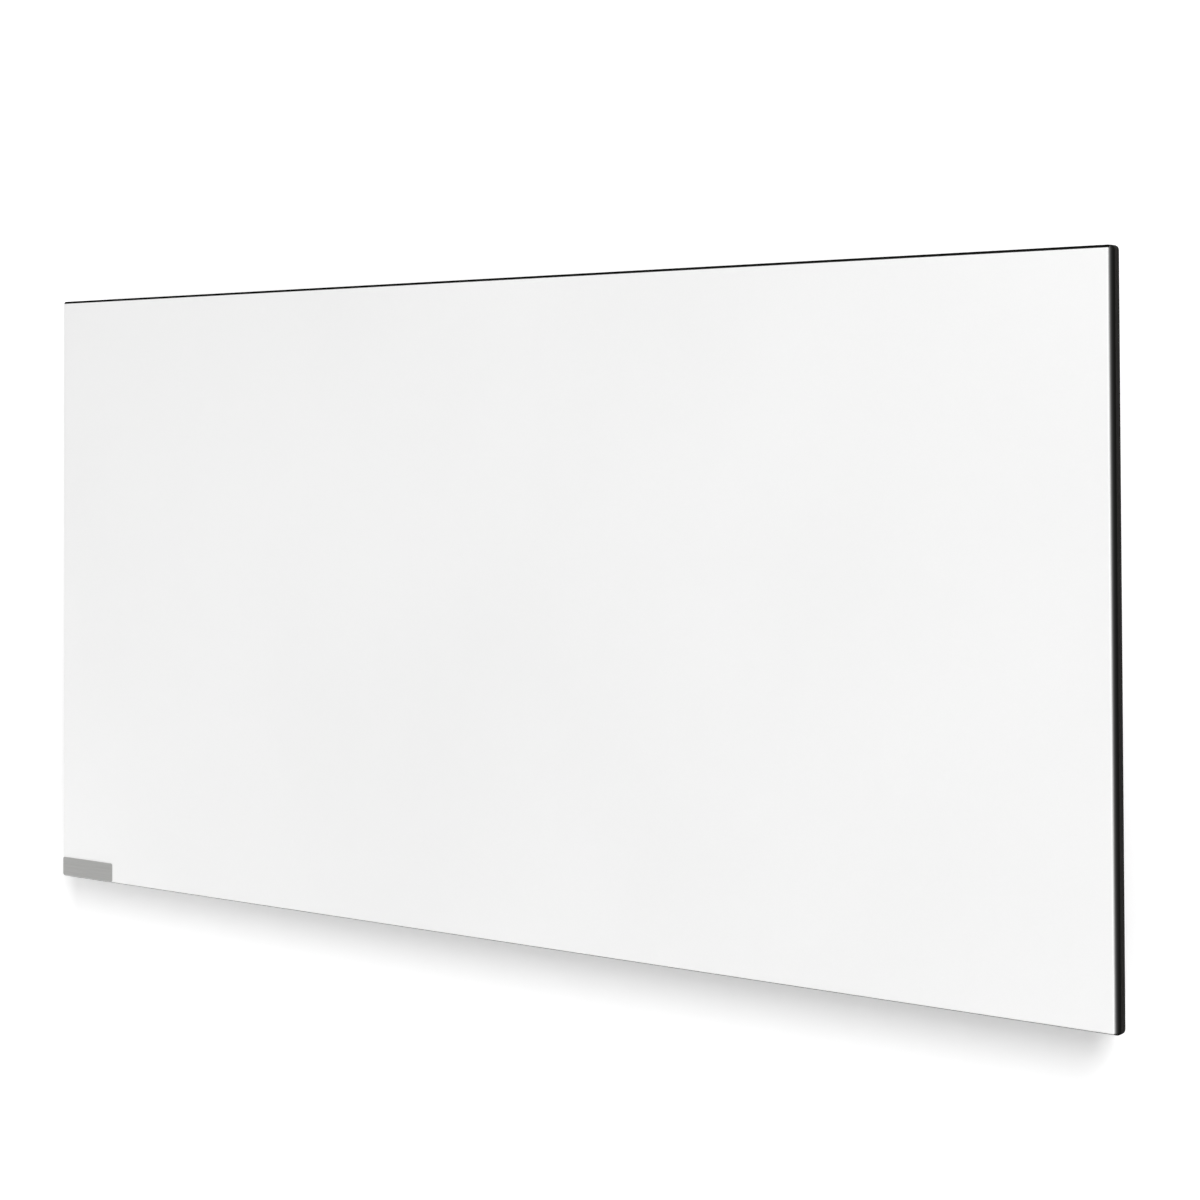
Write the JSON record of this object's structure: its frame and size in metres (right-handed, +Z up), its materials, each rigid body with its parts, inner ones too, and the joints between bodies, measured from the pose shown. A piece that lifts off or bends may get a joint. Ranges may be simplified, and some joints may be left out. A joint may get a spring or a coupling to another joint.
{
  "type": "ceramic panel heater",
  "caption": "Flat electric panel heater: a wide white ceramic tile in a slim black steel tray, hung on wall hooks, with a bare metal plate in one lower corner.",
  "frame": {"origin": "on the wall plane, behind the middle of the panel", "axes": "+X along the panel to the right of someone who faces it, +Y from the room into the wall, +Z up"},
  "size_m": [1.2, 0.0449, 0.6],
  "materials": {
    "tile_body": "satin matt",
    "brushed_plate": "brushed along its length",
    "tape": "matt foam",
    "black_silicone": "matt",
    "black_coat": "fine textured powder coat",
    "aluminium": "bright rolled",
    "cable_jacket": "satin silicone",
    "black_plastic": "fine spark grain",
    "white_plastic": "satin",
    "strip_plastic": "matt",
    "white_silicone": "matt",
    "brown_lead": "satin",
    "blue_lead": "satin",
    "green_lead": "satin, striped",
    "brass": "turned",
    "zinc_steel": "zinc plated",
    "rubber": "matt moulded"
  },
  "bodies": {
    "wall_mount": {"wall_hook_left": "zinc_steel", "wall_hook_right": "zinc_steel"},
    "heater": {"ceramic_tile": "tile_body", "badge_plate": "brushed_plate", "rear_tray": "black_coat", "terminal_hood": "black_plastic", "gland_body": "black_plastic", "gland_nut": "black_plastic", "hanger_left": "zinc_steel", "hanger_right": "zinc_steel", "bumper_left": "rubber", "bumper_right": "rubber", "badge_tape": "tape", "edge_seal": "black_silicone", "reflector_sheet": "aluminium", "heating_cable": "cable_jacket", "cable_strip_1": "strip_plastic", "cable_strip_2": "strip_plastic", "cable_strip_3": "strip_plastic", "cable_strip_4": "strip_plastic", "bond_pad_1": "white_silicone", "bond_pad_2": "white_silicone", "bond_pad_3": "white_silicone", "bond_pad_4": "white_silicone", "bond_pad_5": "white_silicone", "bond_pad_6": "white_silicone", "splice_sleeve_start": "black_silicone", "splice_sleeve_return": "black_silicone", "thermal_limiter": "black_plastic", "limiter_clip": "aluminium", "limiter_lead": "brown_lead", "supply_lead": "brown_lead", "return_lead": "blue_lead", "earth_lead": "green_lead", "terminal_block": "white_plastic", "terminal_tube_1": "brass", "terminal_tube_2": "brass", "terminal_tube_3": "brass", "terminal_block_screw": "zinc_steel", "earth_stud": "zinc_steel", "earth_tag": "zinc_steel", "earth_nut": "brass", "hood_gasket": "rubber", "gland_locknut": "black_plastic", "gland_seal": "rubber", "hood_screw_1": "zinc_steel", "hood_screw_2": "zinc_steel", "hood_screw_3": "zinc_steel", "hood_screw_4": "zinc_steel", "hanger_screw_left_1": "zinc_steel", "hanger_screw_left_2": "zinc_steel", "hanger_screw_left_3": "zinc_steel", "hanger_screw_left_4": "zinc_steel", "hanger_screw_right_1": "zinc_steel", "hanger_screw_right_2": "zinc_steel", "hanger_screw_right_3": "zinc_steel", "hanger_screw_right_4": "zinc_steel", "bumper_screw_left": "zinc_steel", "bumper_screw_right": "zinc_steel"}
  },
  "joints": [
    {"name": "lift_off", "type": "slide", "parent": "wall_mount", "child": "heater", "axis": [0, 0, 1], "range_m": [0, 0.011]}
  ]
}
